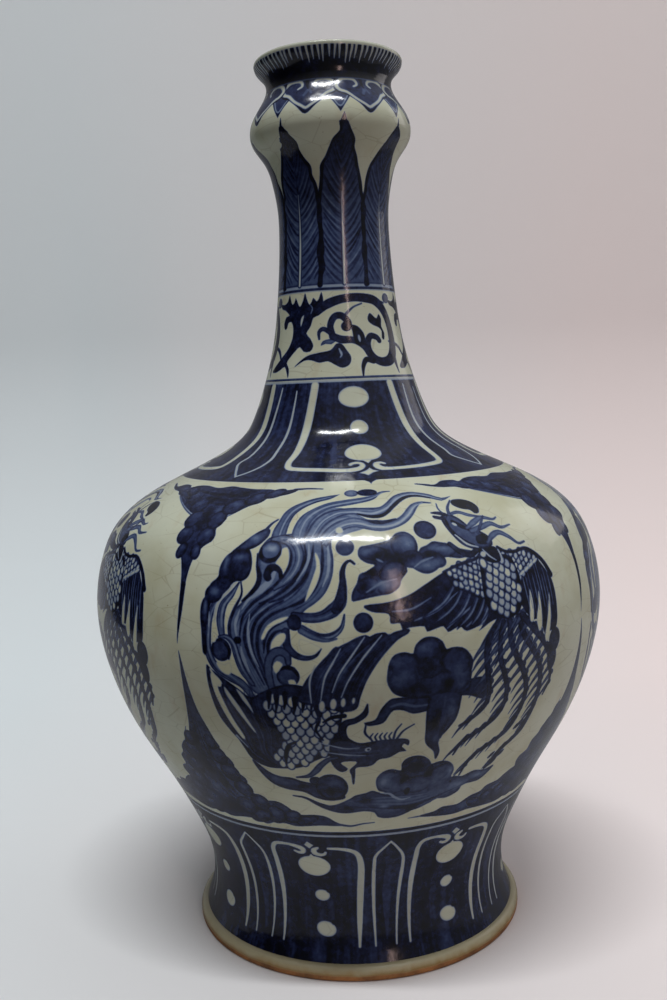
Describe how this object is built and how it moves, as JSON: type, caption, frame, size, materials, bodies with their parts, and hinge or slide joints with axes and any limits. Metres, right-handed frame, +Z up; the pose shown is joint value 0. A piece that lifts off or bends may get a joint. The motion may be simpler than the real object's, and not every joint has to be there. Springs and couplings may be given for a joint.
{
  "type": "garlic-head bottle vase",
  "caption": "Tall bottle vase with a flared lip on a garlic-shaped head, a slim neck, a full rounded body and a splayed foot, painted in cobalt blue under a clear crackled glaze.",
  "frame": {"origin": "centre of the foot ring's underside, on the floor", "axes": "+Z up along the axis of revolution; -Y towards the front of the painted decoration"},
  "size_m": [0.296, 0.296, 0.5],
  "materials": {
    "glaze": "pale grey-green crackled glaze over cobalt painting, glossy",
    "cobalt_ground": "dark cobalt ground under clear glaze, glossy",
    "bare_clay": "unglazed orange-brown fired clay, matte",
    "slip": "fired clay slip, matte"
  },
  "bodies": {
    "root": {"foot_ring": "bare_clay", "base_slab": "bare_clay", "splayed_foot": "cobalt_ground", "lower_body": "glaze", "upper_body": "glaze", "shoulder_cone": "cobalt_ground", "neck_tube": "glaze", "garlic_bulb": "glaze", "mouth_rim": "cobalt_ground", "slip_foot_ring": "slip", "slip_base": "slip", "slip_foot": "slip", "slip_belly": "slip", "slip_shoulder": "slip", "slip_neck": "slip", "slip_bulb": "slip", "slip_mouth": "slip"}
  },
  "joints": []
}
